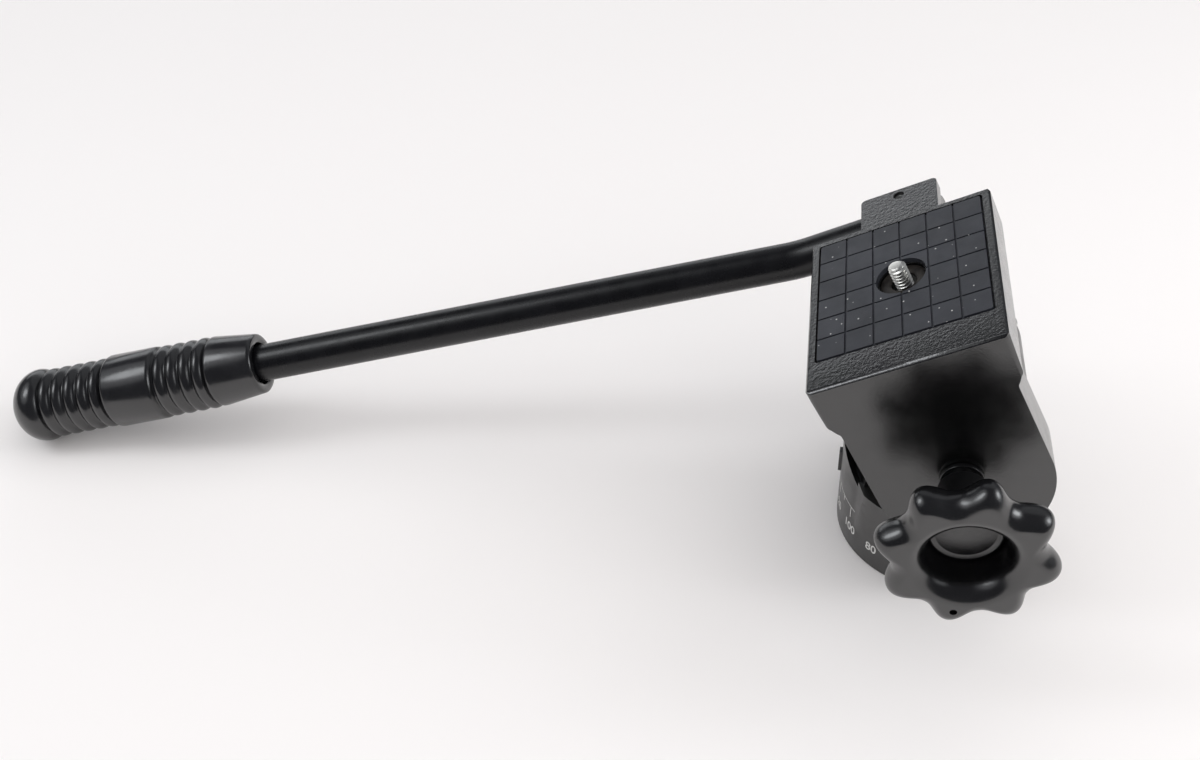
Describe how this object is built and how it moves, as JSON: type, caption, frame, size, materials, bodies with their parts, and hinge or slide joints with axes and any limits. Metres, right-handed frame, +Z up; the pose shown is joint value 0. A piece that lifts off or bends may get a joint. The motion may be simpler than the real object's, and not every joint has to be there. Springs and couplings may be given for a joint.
{
  "type": "fluid video head",
  "caption": "Two-axis tripod video head: panning drum with a degree scale, tilting platform with rubber pad and camera screw, star lock knob and a bent handle with ribbed grip.",
  "frame": {"origin": "centre of the base's bottom face, at the mouth of the tripod thread", "axes": "+Z up along the pan axis, +X to the head's front with the handle trailing towards -X, -Y towards the tilt lock knob; the tilt axis is parallel to Y"},
  "size_m": [0.4015, 0.1428, 0.129],
  "materials": {
    "ring_finish": "satin",
    "casting_paint": "wrinkle paint",
    "knob_plastic": "satin gloss",
    "tube_paint": "semi-gloss",
    "grip_plastic": "gloss",
    "pad_rubber": "matt",
    "bronze": "turned",
    "steel": "turned",
    "zinc_screw": "zinc plated",
    "damper_metal": "turned",
    "friction_disc": "matt"
  },
  "bodies": {
    "base": {"base_plate": "ring_finish", "thread_bush": "bronze", "pan_spindle": "steel", "pan_disc": "friction_disc", "spindle_nut": "steel"},
    "pan": {"pan_housing": "casting_paint", "pan_bush": "bronze", "tilt_bush": "bronze", "chamber_cover": "ring_finish"},
    "pan_lock": {"pan_knob": "knob_plastic", "pan_lock_screw": "steel", "pan_lock_tip": "bronze"},
    "tilt": {"head_casting": "casting_paint", "rubber_pad": "pad_rubber", "screw_washer": "bronze", "tilt_shaft": "steel", "shaft_nut": "steel", "nut_washer": "steel", "brake_disc": "ring_finish", "damper_rotor": "damper_metal", "handle_socket": "casting_paint", "socket_bolt_front": "steel", "socket_bolt_rear": "steel", "clamp_screw": "steel", "handle_tube": "tube_paint", "tube_plug": "tube_paint", "handle_grip": "grip_plastic", "wheel_keeper": "steel", "keeper_screw_front": "steel", "keeper_screw_rear": "steel"},
    "tilt_lock": {"star_knob": "knob_plastic", "knob_cap": "knob_plastic", "knob_stud": "steel", "thrust_washer": "knob_plastic"},
    "camera_bolt": {"camera_screw": "zinc_screw", "thumb_wheel": "knob_plastic"}
  },
  "joints": [
    {"name": "pan_turn", "type": "hinge", "parent": "base", "child": "pan", "pos_m": [0, 0, 0.012], "axis": [0, 0, 1], "continuous": true},
    {"name": "tilt_turn", "type": "hinge", "parent": "pan", "child": "tilt", "pos_m": [0, 0, 0.067], "axis": [0, 1, 0], "range_deg": [-33.2, 86.8]},
    {"name": "pan_lock_turn", "type": "hinge", "parent": "pan", "child": "pan_lock", "pos_m": [0, 0.032, 0.0266], "axis": [0, 1, 0], "range_deg": [-180, 180]},
    {"name": "tilt_lock_turn", "type": "hinge", "parent": "tilt", "child": "tilt_lock", "pos_m": [0, -0.06, 0.067], "axis": [0, -1, 0], "range_deg": [-180, 180]},
    {"name": "camera_bolt_turn", "type": "hinge", "parent": "tilt", "child": "camera_bolt", "pos_m": [-0.01803, 0, 0.1027], "axis": [-0.4509, 0, 0.8926], "continuous": true}
  ]
}
